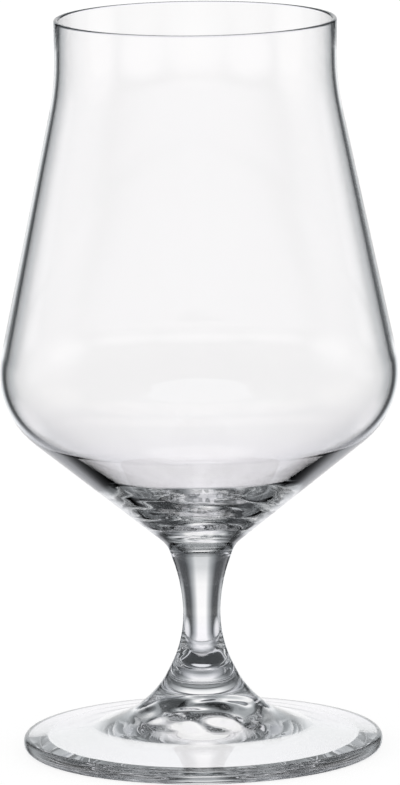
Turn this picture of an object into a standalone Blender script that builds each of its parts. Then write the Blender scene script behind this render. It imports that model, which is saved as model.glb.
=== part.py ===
"""Short-stemmed brandy snifter in clear glass: a blown bowl, a pressed stem and a pressed foot.

The glass stands on the XY plane with its axis on +Z. Every length is in metres. A radius is
measured from the axis, and a height from the underside of the piece that it belongs to.
"""
import math

import bpy
from mathutils import Matrix, Vector

# Heights of the three pieces, and the seams where they are fused
FOOT_HEIGHT = 0.0171
STEM_LENGTH = 0.0278
BOWL_HEIGHT = 0.1215
FUSE_GAP = 0.0003
FOOT_SEAM_RADIUS = 0.0081
BOWL_SEAM_RADIUS = 0.0071

# Bowl, outside: lip, upright neck, straight flared side, belly and heel
LIP_RADIUS = 0.03185
LIP_ROUND = 0.0005
NECK_RADIUS = 0.0316
NECK_HEIGHT = 0.1072
NECK_BEND = 0.060
BELLY_RADIUS = 0.0471
BELLY_HEIGHT = 0.03365
BELLY_BEND = 0.0195
HEEL_RADIUS = 0.00775
HEEL_HEIGHT = 0.00165
HEEL_BEND = 0.0075

# Bowl, inside: the wall thickens from the neck to the belly and on into the heavy heel
WALL = 0.0011
BELLY_WALL = 0.00185
INNER_BELLY_BEND = 0.0191
UPPER_KNEE_SHARE = 0.544
UPPER_KNEE_WALL = 0.00195
UPPER_KNEE_BEND = 0.024
LOWER_KNEE_SHARE = 0.189
LOWER_KNEE_WALL = 0.0034
LOWER_KNEE_BEND = 0.0294
FLOOR_HEIGHT = 0.0086
FLOOR_RADIUS = 0.0088
FLOOR_BEND = 0.0040

# Stem: drawn in to a waist between its two seams
WAIST_RADIUS = 0.00425
WAIST_HEIGHT = 0.0136

# Foot: flared shoulder, rounded edge, standing ring, and a shallow hollow with a flat-topped kick
FOOT_RADIUS = 0.0408
SHOULDER_RADIUS = 0.01475
SHOULDER_HEIGHT = 0.0067
SHOULDER_BEND = 0.024
EDGE_THICKNESS = 0.0033
EDGE_TOP_ROUND = 0.0013
EDGE_BOTTOM_ROUND = 0.0017
RING_WIDTH = 0.0045
RING_ROUND = 0.0048
HOLLOW_RADIUS = 0.0316
HOLLOW_HEIGHT = 0.0006
HOLLOW_BEND = 0.0025
KICK_RADIUS = 0.0150
KICK_HEIGHT = 0.0030
KICK_BEND = 0.0300
KICK_TOP_RADIUS = 0.0065
KICK_TOP_HEIGHT = 0.0074
KICK_TOP_BEND = 0.0100

# Fineness of the turned surfaces
TURN_STEPS = 48
CHORD_TOLERANCE = 0.00003
MERGE_DISTANCE = 0.00001
SHARP_ANGLE = math.radians(40)

# Clear glass
GLASS_COLOUR = (0.95, 0.96, 0.97, 1.0)
GLASS_ROUGHNESS = 0.02
GLASS_IOR = 1.52


def clear_scene():
    for old in list(bpy.data.objects):
        bpy.data.objects.remove(old, do_unlink=True)


def glass(name):
    """Clear glass, one material for each piece."""
    material = bpy.data.materials.new(name)
    material.use_nodes = True
    shader = material.node_tree.nodes["Principled BSDF"]
    shader.inputs["Base Color"].default_value = GLASS_COLOUR
    shader.inputs["Roughness"].default_value = GLASS_ROUGHNESS
    shader.inputs["Metallic"].default_value = 0.0
    shader.inputs["Transmission Weight"].default_value = 1.0
    shader.inputs["IOR"].default_value = GLASS_IOR
    return material


def arc_steps(radius, sweep):
    """Number of chords that keep an arc within CHORD_TOLERANCE of its true curve."""
    widest = 2 * math.acos(max(0.0, 1 - CHORD_TOLERANCE / radius))
    return max(2, math.ceil(sweep / widest))


def bend_points(before, corner, after, bend):
    """Arc of radius bend that rounds a corner, made smaller where the sides are too short."""
    back = before - corner
    ahead = after - corner
    turn = math.pi - back.angle(ahead)
    half_tangent = math.tan(turn / 2)
    reach = min(bend * half_tangent, back.length, ahead.length)
    radius = reach / half_tangent
    middle = (back.normalized() + ahead.normalized()).normalized()
    centre = corner + middle * (radius / math.cos(turn / 2))
    spoke = corner + back.normalized() * reach - centre
    sweep = math.copysign(turn, back.x * ahead.y - back.y * ahead.x)
    steps = arc_steps(radius, turn)
    return [centre + Matrix.Rotation(-sweep * step / steps, 2) @ spoke for step in range(steps + 1)]


def rounded_outline(corners):
    """Outline through (radius, height, bend) corners. Two bends share the side between them."""
    spots = [Vector((radius, height)) for radius, height, bend in corners]
    outline = [spots[0]]
    for index in range(1, len(corners) - 1):
        bend = corners[index][2]
        if bend == 0:
            outline.append(spots[index])
            continue
        before = spots[index - 1]
        after = spots[index + 1]
        if corners[index - 1][2] > 0:
            before = (before + spots[index]) / 2
        if corners[index + 1][2] > 0:
            after = (after + spots[index]) / 2
        outline.extend(bend_points(before, spots[index], after, bend))
    outline.append(spots[-1])
    return outline


def waist_arc(end_radius, rise):
    """Points from a seam to the waist, on the arc that stands upright at the waist."""
    flare = end_radius - WAIST_RADIUS
    arc_radius = (rise ** 2 + flare ** 2) / (2 * flare)
    sweep = math.asin(rise / arc_radius)
    steps = arc_steps(arc_radius, sweep)
    angles = [sweep * (1 - step / steps) for step in range(steps + 1)]
    return [(WAIST_RADIUS + arc_radius * (1 - math.cos(a)), arc_radius * math.sin(a)) for a in angles]


def drop_repeats(outline):
    """Leaves out each point that falls on the one before it."""
    kept = [outline[0]]
    for spot in outline[1:]:
        if (spot - kept[-1]).length > MERGE_DISTANCE:
            kept.append(spot)
    return kept


def turned(name, outline, base_height, parent):
    """Solid of revolution about Z from an outline that starts and ends on the axis."""
    spots = drop_repeats([Vector(spot) for spot in outline])
    mesh = bpy.data.meshes.new(name)
    edges = [(index, index + 1) for index in range(len(spots) - 1)]
    mesh.from_pydata([(spot.x, 0.0, spot.y) for spot in spots], edges, [])
    piece = bpy.data.objects.new(name, mesh)
    bpy.context.collection.objects.link(piece)

    screw = piece.modifiers.new("turn", "SCREW")
    screw.axis = "Z"
    screw.steps = TURN_STEPS
    screw.render_steps = TURN_STEPS
    screw.use_merge_vertices = True
    screw.merge_threshold = MERGE_DISTANCE
    evaluated = piece.evaluated_get(bpy.context.evaluated_depsgraph_get())
    solid = bpy.data.meshes.new_from_object(evaluated)
    piece.modifiers.clear()
    piece.data = solid
    bpy.data.meshes.remove(mesh)
    solid.name = name

    solid.shade_smooth()
    solid.set_sharp_from_angle(angle=SHARP_ANGLE)
    solid.materials.clear()
    solid.materials.append(glass(name + "_glass"))
    piece.location.z = base_height
    piece.parent = parent
    return piece


def foot_outline():
    """From the seam down the shoulder, round the edge, and in under the foot to the kick's top."""
    ring_outer = FOOT_RADIUS - EDGE_BOTTOM_ROUND
    return rounded_outline([
        (0.0, FOOT_HEIGHT, 0),
        (FOOT_SEAM_RADIUS, FOOT_HEIGHT, 0),
        (SHOULDER_RADIUS, SHOULDER_HEIGHT, SHOULDER_BEND),
        (FOOT_RADIUS, EDGE_THICKNESS, EDGE_TOP_ROUND),
        (FOOT_RADIUS, 0.0, EDGE_BOTTOM_ROUND),
        (ring_outer - RING_WIDTH, 0.0, RING_ROUND),
        (HOLLOW_RADIUS, HOLLOW_HEIGHT, HOLLOW_BEND),
        (KICK_RADIUS, KICK_HEIGHT, KICK_BEND),
        (KICK_TOP_RADIUS, KICK_TOP_HEIGHT, KICK_TOP_BEND),
        (0.0, KICK_TOP_HEIGHT, 0),
    ])


def stem_outline():
    """From the bowl's seam in to the waist and out again to the foot's seam."""
    upper = waist_arc(BOWL_SEAM_RADIUS, STEM_LENGTH - WAIST_HEIGHT)
    lower = waist_arc(FOOT_SEAM_RADIUS, WAIST_HEIGHT)
    outline = [(0.0, STEM_LENGTH)]
    outline.extend((radius, WAIST_HEIGHT + rise) for radius, rise in upper)
    outline.extend((radius, WAIST_HEIGHT - rise) for radius, rise in reversed(lower))
    outline.append((0.0, 0.0))
    return outline


def knee(share, wall):
    """Inner corner a wall's thickness inside the straight outer side, at a share of the way up it."""
    heel = Vector((HEEL_RADIUS, HEEL_HEIGHT))
    side = Vector((BELLY_RADIUS, BELLY_HEIGHT)) - heel
    inward = Vector((-side.y, side.x)).normalized()
    return heel + side * share + inward * wall


def bowl_outline():
    """From the floor up the inside, over the lip, and down the outside to the stem's seam."""
    return rounded_outline([
        (0.0, FLOOR_HEIGHT, 0),
        (FLOOR_RADIUS, FLOOR_HEIGHT, FLOOR_BEND),
        (*knee(LOWER_KNEE_SHARE, LOWER_KNEE_WALL), LOWER_KNEE_BEND),
        (*knee(UPPER_KNEE_SHARE, UPPER_KNEE_WALL), UPPER_KNEE_BEND),
        (BELLY_RADIUS - BELLY_WALL, BELLY_HEIGHT, INNER_BELLY_BEND),
        (NECK_RADIUS - WALL, NECK_HEIGHT, NECK_BEND),
        (LIP_RADIUS - WALL, BOWL_HEIGHT, LIP_ROUND),
        (LIP_RADIUS, BOWL_HEIGHT, LIP_ROUND),
        (NECK_RADIUS, NECK_HEIGHT, NECK_BEND),
        (BELLY_RADIUS, BELLY_HEIGHT, BELLY_BEND),
        (HEEL_RADIUS, HEEL_HEIGHT, HEEL_BEND),
        (BOWL_SEAM_RADIUS, 0.0, 0),
        (0.0, 0.0, 0),
    ])


def main():
    clear_scene()
    snifter = bpy.data.objects.new("snifter", None)
    bpy.context.collection.objects.link(snifter)
    stem_base = FOOT_HEIGHT + FUSE_GAP
    bowl_base = stem_base + STEM_LENGTH + FUSE_GAP
    turned("foot", foot_outline(), 0.0, snifter)
    turned("stem", stem_outline(), stem_base, snifter)
    turned("bowl", bowl_outline(), bowl_base, snifter)


main()
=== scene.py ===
import math

import bpy
from mathutils import Matrix, Vector, noise


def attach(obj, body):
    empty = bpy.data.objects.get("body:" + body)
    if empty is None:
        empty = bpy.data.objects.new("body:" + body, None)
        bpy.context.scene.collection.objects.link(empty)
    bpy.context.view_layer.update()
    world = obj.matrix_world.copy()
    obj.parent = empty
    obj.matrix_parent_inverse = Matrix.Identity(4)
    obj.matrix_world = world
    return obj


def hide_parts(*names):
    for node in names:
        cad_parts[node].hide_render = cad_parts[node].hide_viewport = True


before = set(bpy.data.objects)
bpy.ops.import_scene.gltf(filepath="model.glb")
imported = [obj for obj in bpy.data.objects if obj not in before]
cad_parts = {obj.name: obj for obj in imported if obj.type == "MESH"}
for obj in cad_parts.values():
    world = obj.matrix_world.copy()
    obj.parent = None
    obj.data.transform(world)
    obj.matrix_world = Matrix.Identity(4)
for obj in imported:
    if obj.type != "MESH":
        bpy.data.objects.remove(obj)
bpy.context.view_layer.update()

# Camera, worked out from the ellipses of the lip and the foot in the photograph
IMAGE_HEIGHT_PX = 785
FOCAL_PX = 8088.5
SENSOR_HEIGHT_MM = 24.0
CAMERA_DISTANCE = 1.8006
CAMERA_HEIGHT = 0.3919
CAMERA_PITCH = math.radians(9.771)
CAMERA_YAW = math.radians(-0.005)
CAMERA_ROLL = math.radians(-0.65)

# Fineness of the turned glass
TURN_SEGMENTS = 360
CORNER_ANGLE = math.radians(30)
OUTLINE_STEP = math.radians(2.5)
UNEVEN_STEP = 0.0003
SAME_PLACE = 1e-6

# Clear glass, with faint clouds in its tint and a faint wave on its surface
GLASS_IOR = 1.52
GLASS_TINTS = ((0.996, 0.990, 0.992, 1.0), (1.0, 0.994, 0.995, 1.0))
TINT_SCALE = 35.0
WAVE_SCALE = 70.0
WAVE_HEIGHT = 0.000004

# Ripples left by the tool on the inner bottom of the bowl
RIPPLE_RADIUS = 0.024
RIPPLE_FULL_RADIUS = 0.006
RIPPLE_STILL_RADIUS = 0.002
RIPPLE_HEIGHT = 0.00030
RIPPLES_ALONG = 160
RIPPLES_AROUND = 1.0
RIPPLE_TWIST = 150
FINE_RIPPLE_SCALE = 2.1
FINE_RIPPLE_SHARE = 0.5

# Lumps left by the mould on the kick under the foot
LUMP_RADIUS = 0.014
LUMP_FULL_RADIUS = 0.010
LUMP_HEIGHT = 0.0010
LUMP_SCALE = 180

# Studio light seen through the glass. Its levels are written as (angle in degrees, level), with an
# azimuth from straight behind the glass to either side, or an elevation from straight below.
# Panel behind the glass: level by azimuth, level by elevation, and how wide it is by elevation
BACK_PANEL = (
    (0, 1), (8, 1), (10, 0.86), (13, 0.62), (16, 0.44),
    (20, 0.26), (23, 0.12), (26, 0.05), (36, 0.03), (60, 0.03),
)
BACK_PANEL_RISE = (
    (-90, 0.03), (-75, 0.06), (-65, 0.12), (-55, 0.3), (-45, 0.6), (-35, 0.9),
    (-26, 1), (-15, 0.98), (-8, 1), (-2, 1), (2, 0.95), (6, 0.85),
    (12, 0.6), (20, 0.4), (30, 0.3), (45, 0.25), (60, 0.1), (90, 0.05),
)
BACK_PANEL_SPREAD = ((-90, 1), (-60, 1), (-45, 0.7), (-25, 0.333), (90, 0.333))
WIDEST_SPREAD = 3

# Panels at the sides: level by azimuth and level by elevation
SIDE_PANELS = ((0, 0), (42, 0), (50, 0.6), (60, 1), (92, 1), (110, 0.25), (180, 0.25))
SIDE_PANELS_RISE = (
    (-90, 0.03), (-42, 0.05), (-32, 0.3), (-22, 0.55),
    (5, 0.55), (12, 0.2), (25, 0.07), (90, 0.07),
)

# Soft oval panels, as (azimuth, elevation, half width, half height), and their level from the
# middle, at 0, to the edge, at 1
ROUND_PANELS = ((45, -25, 20, 13), (90, -8, 26, 18), (135, -15, 34, 12), (180, -13, 44, 13))
ROUND_PANEL = ((0, 0.9), (0.5, 0.8), (1, 0))

# Lit table: an oval in front of the glass, and the part straight below by elevation
NEAR_TABLE = (180, -33, 150, 9)
NEAR_TABLE_LEVEL = 0.85
TABLE_BELOW = ((-90, 0.85), (-76, 0.8), (-70, 0), (90, 0))

# Studio light mirrored by the surface: the panel behind, the sides by azimuth, and the table
MIRRORED_BACK = ((0, 1), (17, 0.95), (20, 0.6), (24, 0.06), (28, 0.03), (180, 0.03))
MIRRORED_BACK_RISE = ((-90, 0.03), (-46, 0.03), (-38, 0.3), (-30, 1), (90, 1))
MIRRORED_SIDES = ((0, 0), (28, 0), (34, 0.3), (42, 0.75), (50, 0.95), (180, 1))
MIRRORED_SIDES_LEVEL = 1.15
MIRRORED_TABLE = ((-90, 1), (-56, 1), (-46, 0), (90, 0))

# Faint colours of the dark flags and of the table, and the table's share by elevation
FLAG_TINT = (0.92, 0.99, 1.04, 1)
TABLE_TINT = (0.985, 0.975, 1.01, 1)
TABLE_SHARE = ((-90, 1), (-22, 1), (-11, 0), (90, 0))
WHITE = (1, 1, 1, 1)
ROOM_LIGHT = (0.9, 0.9, 0.9, 1)

# Pale floor, which glows by itself and still takes the shadow of the glass
FLOOR_HALF_SIDE = 3.0
FLOOR_COLOUR = (0.2, 0.2, 0.2, 1)
FLOOR_GLOW = 0.85

# Bounces that light may make in the glass
GLASS_BOUNCES = 32
MIRROR_BOUNCES = 16


def meridian(node):
    """The (radius, height) outline of a turned CAD node, from its higher end on the axis."""
    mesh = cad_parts[node].data
    places = {}
    for vertex in mesh.vertices:
        if abs(vertex.co.y) < SAME_PLACE and vertex.co.x > -SAME_PLACE:
            places[vertex.index] = (round(vertex.co.x, 6), round(vertex.co.z, 6))
    joined = {place: set() for place in places.values()}
    for edge in mesh.edges:
        start, end = (places.get(index) for index in edge.vertices)
        if start and end and start != end:
            joined[start].add(end)
            joined[end].add(start)
    ends = [place for place in joined if len(joined[place]) == 1]
    here = max(ends, key=lambda place: place[1])
    outline = [here]
    left = set(joined) - {here}
    while left:
        ahead = joined[here] & left or left
        here = min(ahead, key=lambda place: math.dist(place, here))
        outline.append(here)
        left.discard(here)
    around = [Vector(place) for place in outline if place[0] > SAME_PLACE]
    return [Vector((0.0, outline[0][1])), *around, Vector((0.0, outline[-1][1]))]


def smooth_runs(outline):
    """Splits an outline at its sharp corners."""
    runs = [[outline[0]]]
    for index in range(1, len(outline) - 1):
        runs[-1].append(outline[index])
        before = outline[index] - outline[index - 1]
        after = outline[index + 1] - outline[index]
        if before.angle(after) > CORNER_ANGLE:
            runs.append([outline[index]])
    runs[-1].append(outline[-1])
    return runs


def smooth_run(run):
    """Fine points along one run: curved between its points, straight where it is straight."""
    sides = [end - start for start, end in zip(run, run[1:])]
    tangents = [sides[0].normalized()]
    tangents.extend((before + after).normalized() for before, after in zip(sides, sides[1:]))
    tangents.append(sides[-1].normalized())
    fine = [run[0]]
    for start, end, leave, arrive in zip(run, run[1:], tangents, tangents[1:]):
        steps = max(1, math.ceil(leave.angle(arrive) / OUTLINE_STEP))
        reach = (end - start).length
        for step in range(1, steps + 1):
            t = step / steps
            fine.append(
                start * (2 * t ** 3 - 3 * t ** 2 + 1)
                + leave * (reach * (t ** 3 - 2 * t ** 2 + t))
                + end * (3 * t ** 2 - 2 * t ** 3)
                + arrive * (reach * (t ** 3 - t ** 2))
            )
    return fine


def fine_outline(outline):
    """The same outline with fine points, and with its sharp corners kept."""
    fine = [outline[0]]
    for run in smooth_runs(outline):
        fine.extend(smooth_run(run)[1:])
    return fine


def dense_start(outline, radius):
    """Splits off the start of an outline, as far as a radius, and gives it close points."""
    count = next(index for index, spot in enumerate(outline) if spot.x > radius)
    dense = [outline[0]]
    for start, end in zip(outline, outline[1:count + 1]):
        steps = math.ceil((end - start).length / UNEVEN_STEP)
        dense.extend(start.lerp(end, step / steps) for step in range(1, steps + 1))
    return dense, outline[count + 1:]


def share(value, none, full):
    """How far a value lies from none to full, from 0 to 1."""
    return min(1.0, max(0.0, (value - none) / (full - none)))


def ripples(spot, angle):
    """Height of the twisted ripples at a place on the inner bottom."""
    turned = angle + RIPPLE_TWIST * spot.x
    place = Vector((
        math.cos(turned) * RIPPLES_AROUND,
        math.sin(turned) * RIPPLES_AROUND,
        spot.x * RIPPLES_ALONG,
    ))
    depth = share(spot.x, 0.0, RIPPLE_STILL_RADIUS) * share(spot.x, RIPPLE_RADIUS, RIPPLE_FULL_RADIUS)
    fine = noise.noise(place * FINE_RIPPLE_SCALE) * FINE_RIPPLE_SHARE
    return RIPPLE_HEIGHT * depth * (noise.noise(place) + fine)


def lumps(spot, angle):
    """Height of the lumps at a place on the kick."""
    place = Vector((spot.x * math.cos(angle), spot.x * math.sin(angle), 0.0)) * LUMP_SCALE
    depth = share(spot.x, LUMP_RADIUS, LUMP_FULL_RADIUS)
    return LUMP_HEIGHT * depth * noise.noise(place)


def spin(name, outline, relief, uneven):
    """Closed mesh turned about Z from an outline that starts and ends on the axis.

    The points whose numbers are in uneven are raised by the relief.
    """
    vertices = [(0.0, 0.0, outline[0].y), (0.0, 0.0, outline[-1].y)]
    first = len(vertices)
    for index, spot in enumerate(outline[1:-1], 1):
        for step in range(TURN_SEGMENTS):
            angle = math.tau * step / TURN_SEGMENTS
            height = spot.y + relief(spot, angle) if index in uneven else spot.y
            vertices.append((spot.x * math.cos(angle), spot.x * math.sin(angle), height))
    last = len(vertices) - TURN_SEGMENTS
    faces = []
    for step in range(TURN_SEGMENTS):
        after = (step + 1) % TURN_SEGMENTS
        faces.append((0, first + step, first + after))
        for upper in range(first, last, TURN_SEGMENTS):
            lower = upper + TURN_SEGMENTS
            faces.append((upper + step, lower + step, lower + after, upper + after))
        faces.append((last + step, 1, last + after))
    mesh = bpy.data.meshes.new(name)
    mesh.from_pydata(vertices, [], faces)
    mesh.shade_smooth()
    mesh.set_sharp_from_angle(angle=CORNER_ANGLE)
    piece = bpy.data.objects.new(name, mesh)
    bpy.context.collection.objects.link(piece)
    return piece


class Nodes:
    """Short hand for building a node tree."""

    def __init__(self, tree):
        self.tree = tree

    def add(self, kind, **settings):
        node = self.tree.nodes.new(kind)
        for name, value in settings.items():
            setattr(node, name, value)
        return node

    def link(self, source, target):
        self.tree.links.new(source, target)

    def put(self, socket, value):
        """Links a socket to another, or sets it to a plain value."""
        if isinstance(value, bpy.types.NodeSocket):
            self.link(value, socket)
        else:
            socket.default_value = value

    def math(self, operation, first, second=0.0):
        node = self.add("ShaderNodeMath", operation=operation)
        self.put(node.inputs[0], first)
        self.put(node.inputs[1], second)
        return node.outputs[0]

    def curve(self, value, points):
        """Level at a value, on straight lines between (value, level) points."""
        low = points[0][0]
        span = points[-1][0] - low
        place = self.math("DIVIDE", self.math("SUBTRACT", value, low), span)
        node = self.add("ShaderNodeValToRGB")
        self.link(place, node.inputs[0])
        stops = node.color_ramp.elements
        stops.remove(stops[1])
        for index, (spot, level) in enumerate(points):
            stop = stops[0] if index == 0 else stops.new((spot - low) / span)
            stop.color = (level, level, level, 1)
        return node.outputs["Color"]

    def mix(self, factor, first, second, blend="MIX"):
        node = self.add("ShaderNodeMix", data_type="RGBA", blend_type=blend)
        colours = [socket for socket in node.inputs if socket.type == "RGBA"]
        self.put(node.inputs["Factor"], factor)
        self.put(colours[0], first)
        self.put(colours[1], second)
        return next(socket for socket in node.outputs if socket.type == "RGBA")

    def multiply(self, first, second):
        return self.mix(1.0, first, second, "MULTIPLY")


def empty_material(name):
    """A material with no nodes yet, and the net to build them with."""
    material = bpy.data.materials.new(name)
    material.use_nodes = True
    material.node_tree.nodes.clear()
    return material, Nodes(material.node_tree)


def clear_glass():
    """Clear glass with faint clouds in its tint and a faint wave on its surface."""
    material = bpy.data.materials.new("clear_glass_looks")
    material.use_nodes = True
    net = Nodes(material.node_tree)
    shader = material.node_tree.nodes["Principled BSDF"]
    place = net.add("ShaderNodeTexCoord").outputs["Object"]
    clouds = net.add("ShaderNodeTexNoise")
    clouds.inputs["Scale"].default_value = TINT_SCALE
    waves = net.add("ShaderNodeTexNoise")
    waves.inputs["Scale"].default_value = WAVE_SCALE
    waves.inputs["Detail"].default_value = 0.0
    net.link(place, clouds.inputs["Vector"])
    net.link(place, waves.inputs["Vector"])
    net.link(net.mix(clouds.outputs["Fac"], *GLASS_TINTS), shader.inputs["Base Color"])
    bump = net.add("ShaderNodeBump")
    bump.inputs["Distance"].default_value = WAVE_HEIGHT
    net.link(waves.outputs["Fac"], bump.inputs["Height"])
    net.link(bump.outputs["Normal"], shader.inputs["Normal"])
    shader.inputs["Roughness"].default_value = 0.0
    shader.inputs["Transmission Weight"].default_value = 1.0
    shader.inputs["IOR"].default_value = GLASS_IOR
    return material


def fused_joint():
    """Seam that light passes straight through, because the glass is one there."""
    material, net = empty_material("fused_joint")
    clear = net.add("ShaderNodeBsdfTransparent")
    output = net.add("ShaderNodeOutputMaterial")
    net.link(clear.outputs[0], output.inputs["Surface"])
    return material


def add_piece(node, outline, joint_heights, materials, relief=None, uneven=()):
    """Turned glass that stands for a CAD node, with a clear seam at each joint's height."""
    piece = spin(node + "_glass", outline, relief, uneven)
    for material in materials:
        piece.data.materials.append(material)
    for face in piece.data.polygons:
        heights = [piece.data.vertices[index].co.z for index in face.vertices]
        for height in joint_heights:
            if all(abs(z - height) < SAME_PLACE for z in heights):
                face.material_index = 1
    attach(piece, "root")
    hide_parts(node)


def add_glass():
    """Bowl, stem and foot, each grown to the middle of the gap at its joints."""
    foot = meridian("foot")
    stem = meridian("stem")
    bowl = meridian("bowl")
    foot_joint = (foot[0].y + stem[-1].y) / 2
    bowl_joint = (stem[0].y + bowl[-1].y) / 2
    for spot in foot[:2] + stem[-2:]:
        spot.y = foot_joint
    for spot in stem[:2] + bowl[-2:]:
        spot.y = bowl_joint
    materials = [clear_glass(), fused_joint()]
    bottom, rest = dense_start(fine_outline(bowl), RIPPLE_RADIUS)
    add_piece("bowl", bottom + rest, [bowl_joint], materials, ripples, range(len(bottom)))
    add_piece("stem", fine_outline(stem), [bowl_joint, foot_joint], materials)
    kick, rest = dense_start(fine_outline(foot)[::-1], LUMP_RADIUS)
    under = range(len(rest), len(rest) + len(kick))
    add_piece("foot", (kick + rest)[::-1], [foot_joint], materials, lumps, under)


def round_panel(net, azimuth, elevation, panel):
    """Level of a soft oval panel, given by its middle and its half sizes in degrees."""
    across, up, half_width, half_height = panel
    x = net.math("DIVIDE", net.math("SUBTRACT", azimuth, across), half_width)
    y = net.math("DIVIDE", net.math("SUBTRACT", elevation, up), half_height)
    square = net.math("ADD", net.math("MULTIPLY", x, x), net.math("MULTIPLY", y, y))
    return net.curve(net.math("SQRT", square), ROUND_PANEL)


def studio_level(net, azimuth, elevation):
    """Level of the panels and the table that are seen through the glass."""
    spread = net.math("MULTIPLY", net.curve(elevation, BACK_PANEL_SPREAD), WIDEST_SPREAD)
    back = net.curve(net.math("DIVIDE", azimuth, spread), BACK_PANEL)
    back = net.math("MULTIPLY", back, net.curve(elevation, BACK_PANEL_RISE))
    side = net.math("MULTIPLY", net.curve(azimuth, SIDE_PANELS), net.curve(elevation, SIDE_PANELS_RISE))
    level = net.math("MAXIMUM", back, side)
    for panel in ROUND_PANELS:
        level = net.math("MAXIMUM", level, round_panel(net, azimuth, elevation, panel))
    near = net.math("MULTIPLY", round_panel(net, azimuth, elevation, NEAR_TABLE), NEAR_TABLE_LEVEL)
    table = net.math("MAXIMUM", near, net.curve(elevation, TABLE_BELOW))
    return net.math("MAXIMUM", level, table)


def mirrored_level(net, azimuth, elevation):
    """Level of the panels and the table that the surface mirrors."""
    rise = net.curve(elevation, MIRRORED_BACK_RISE)
    back = net.math("MULTIPLY", net.curve(azimuth, MIRRORED_BACK), rise)
    sides = net.math("MULTIPLY", net.curve(azimuth, MIRRORED_SIDES), MIRRORED_SIDES_LEVEL)
    table = net.curve(elevation, MIRRORED_TABLE)
    return net.math("MAXIMUM", net.math("MAXIMUM", back, sides), table)


def add_world():
    """Glowing panels with dark flags between them, over a bright table."""
    world = bpy.data.worlds.new("studio")
    bpy.context.scene.world = world
    world.use_nodes = True
    world.cycles.sampling_method = "NONE"
    world.node_tree.nodes.clear()
    net = Nodes(world.node_tree)
    direction = net.add("ShaderNodeTexCoord").outputs["Generated"]
    parts = net.add("ShaderNodeSeparateXYZ")
    net.link(direction, parts.inputs[0])
    turn = net.math("ARCTAN2", parts.outputs["X"], parts.outputs["Y"])
    azimuth = net.math("ABSOLUTE", net.math("DEGREES", turn))
    elevation = net.math("DEGREES", net.math("ARCSINE", parts.outputs["Z"]))
    path = net.add("ShaderNodeLightPath")
    bent = path.outputs["Is Transmission Ray"]
    mirrored = net.math("GREATER_THAN", net.math("SUBTRACT", path.outputs["Is Glossy Ray"], bent), 0.5)
    level = studio_level(net, azimuth, elevation)
    light = net.mix(mirrored, level, mirrored_level(net, azimuth, elevation))
    light = net.multiply(light, net.mix(level, FLAG_TINT, WHITE))
    light = net.multiply(light, net.mix(net.curve(elevation, TABLE_SHARE), WHITE, TABLE_TINT))
    light = net.mix(path.outputs["Is Diffuse Ray"], light, ROOM_LIGHT)
    light = net.mix(path.outputs["Is Camera Ray"], light, WHITE)
    background = net.add("ShaderNodeBackground")
    net.link(light, background.inputs["Color"])
    output = net.add("ShaderNodeOutputWorld")
    net.link(background.outputs[0], output.inputs["Surface"])


def add_floor():
    """Pale floor, left out of what the glass bends and mirrors, where the studio's table shows."""
    half = FLOOR_HALF_SIDE
    corners = [(-half, -half, 0), (half, -half, 0), (half, half, 0), (-half, half, 0)]
    mesh = bpy.data.meshes.new("floor")
    mesh.from_pydata(corners, [], [(0, 1, 2, 3)])
    floor = bpy.data.objects.new("floor", mesh)
    bpy.context.collection.objects.link(floor)
    material, net = empty_material("pale_floor")
    matt = net.add("ShaderNodeBsdfDiffuse")
    matt.inputs["Color"].default_value = FLOOR_COLOUR
    glow = net.add("ShaderNodeEmission")
    glow.inputs["Strength"].default_value = FLOOR_GLOW
    blend = net.add("ShaderNodeAddShader")
    net.link(matt.outputs[0], blend.inputs[0])
    net.link(glow.outputs[0], blend.inputs[1])
    output = net.add("ShaderNodeOutputMaterial")
    net.link(blend.outputs[0], output.inputs["Surface"])
    mesh.materials.append(material)
    floor.visible_transmission = False
    floor.visible_glossy = False


def add_camera():
    """Camera at the photograph's angle."""
    data = bpy.data.cameras.new("camera")
    data.sensor_fit = "VERTICAL"
    data.sensor_height = SENSOR_HEIGHT_MM
    data.lens = SENSOR_HEIGHT_MM * FOCAL_PX / IMAGE_HEIGHT_PX
    camera = bpy.data.objects.new("camera", data)
    bpy.context.collection.objects.link(camera)
    place = Matrix.Translation((0.0, -CAMERA_DISTANCE, CAMERA_HEIGHT))
    aim = Matrix.Rotation(CAMERA_YAW, 4, "Z") @ Matrix.Rotation(math.pi / 2 - CAMERA_PITCH, 4, "X")
    camera.matrix_world = place @ aim @ Matrix.Rotation(CAMERA_ROLL, 4, "Z")
    bpy.context.scene.camera = camera


def set_look():
    """Plain view colours, and enough bounces to see through several walls of glass."""
    scene = bpy.context.scene
    scene.view_settings.view_transform = "Standard"
    scene.cycles.max_bounces = GLASS_BOUNCES
    scene.cycles.transmission_bounces = GLASS_BOUNCES
    scene.cycles.transparent_max_bounces = GLASS_BOUNCES
    scene.cycles.glossy_bounces = MIRROR_BOUNCES


add_glass()
add_world()
add_floor()
add_camera()
set_look()
